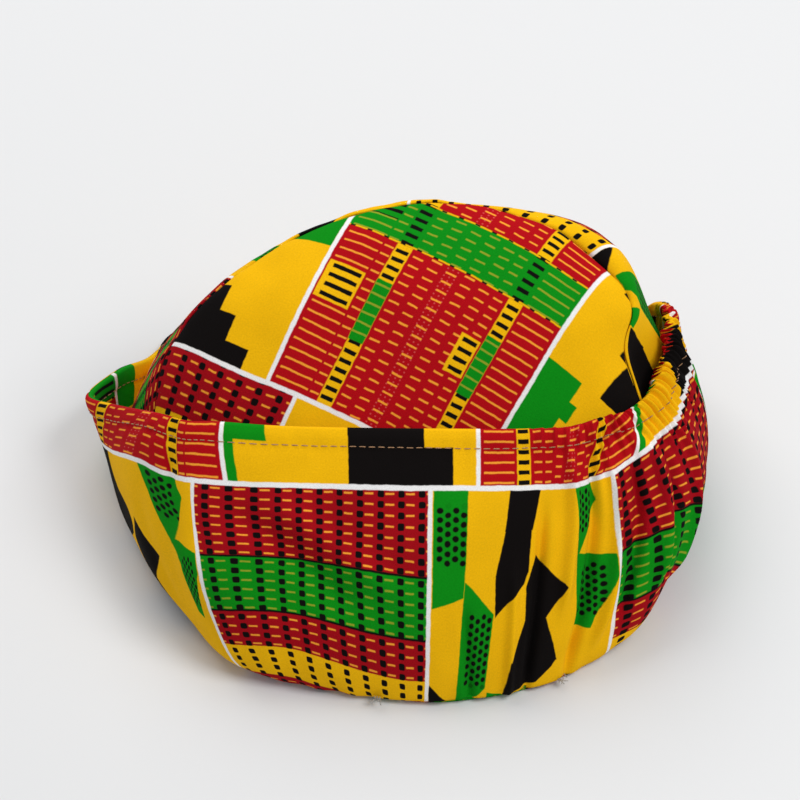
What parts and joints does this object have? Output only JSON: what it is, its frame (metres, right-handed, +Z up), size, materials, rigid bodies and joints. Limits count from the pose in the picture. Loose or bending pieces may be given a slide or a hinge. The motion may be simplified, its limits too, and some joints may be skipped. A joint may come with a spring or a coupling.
{
  "type": "kufi cap",
  "caption": "Soft reversible cotton kufi in a woven-look print, half turned inside out, with a side band, crown panel and elastic back.",
  "frame": {"origin": "middle of the lying cap's outline from above, at the table", "axes": "+Z up, +X towards the gathered elastic back of the cap, +Y away from the cuff"},
  "size_m": [0.2274, 0.1802, 0.0998],
  "materials": {
    "outer_band_cotton": "matt printed cotton",
    "outer_crown_cotton": "matt printed cotton",
    "lining_band_cotton": "matt printed cotton",
    "lining_crown_cotton": "matt printed cotton"
  },
  "bodies": {
    "root": {"outer_band": "outer_band_cotton", "outer_crown": "outer_crown_cotton", "lining_band": "lining_band_cotton", "lining_crown": "lining_crown_cotton"}
  },
  "joints": []
}
